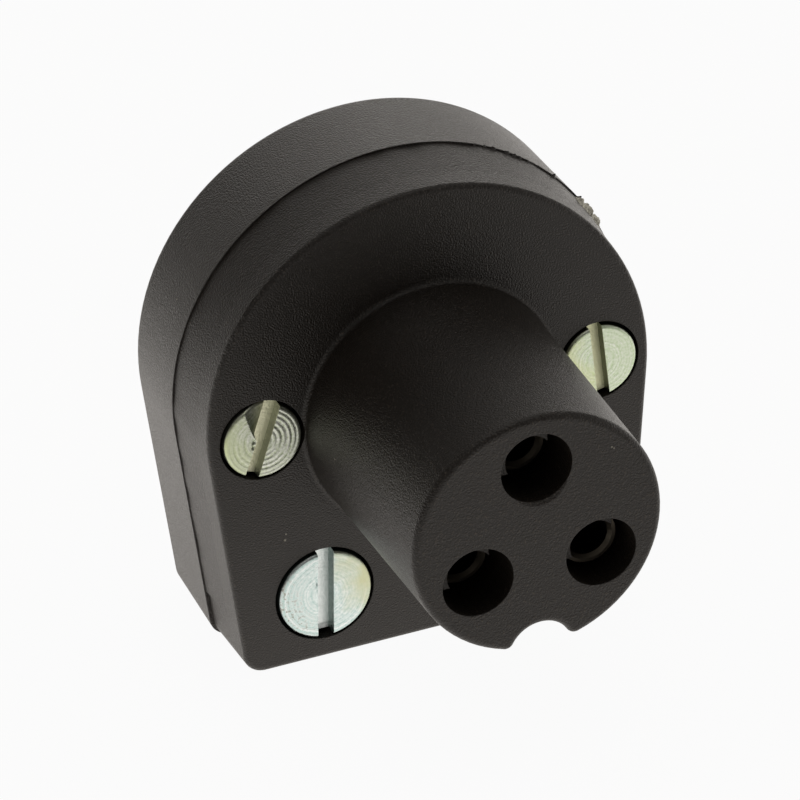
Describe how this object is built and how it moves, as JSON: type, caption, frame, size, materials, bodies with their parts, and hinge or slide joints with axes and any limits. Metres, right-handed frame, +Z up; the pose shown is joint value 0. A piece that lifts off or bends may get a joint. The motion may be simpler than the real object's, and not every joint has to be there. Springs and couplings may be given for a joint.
{
  "type": "right-angle power cable socket",
  "caption": "Right-angle rewirable power cable socket: D-shaped moulded housing with a parting line, a keyed round nose with recessed pin contacts, slotted screws and a bottom cord entry.",
  "frame": {"origin": "under the middle of the overall box, on the flat bottom that the cord enters", "axes": "+Z up, the nose towards -Y, +X to the right of the nose seen from the front"},
  "size_m": [0.0272, 0.0264, 0.0286],
  "materials": {
    "housing_plastic": "fine-grained matte charcoal moulding",
    "contact_brass": "bare brass, slightly dulled",
    "plated_steel": "bright zinc plate with a turned face",
    "plated_brass": "nickel-plated brass"
  },
  "bodies": {
    "root": {"front_shell": "housing_plastic", "rear_cover": "housing_plastic", "contact_sleeve_top": "contact_brass", "contact_sleeve_left": "contact_brass", "contact_sleeve_right": "contact_brass", "terminal_stud_top": "contact_brass", "terminal_stud_left": "contact_brass", "terminal_stud_right": "contact_brass", "cover_insert_left": "contact_brass", "cover_insert_right": "contact_brass", "cover_screw_left": "plated_steel", "cover_screw_right": "plated_steel", "clamp_screw_left": "plated_steel", "clamp_screw_right": "plated_steel", "clamp_bar": "plated_steel", "terminal_washer_top": "plated_brass", "terminal_washer_left": "plated_brass", "terminal_washer_right": "plated_brass", "terminal_screw_top": "plated_brass", "terminal_screw_left": "plated_brass", "terminal_screw_right": "plated_brass"}
  },
  "joints": []
}
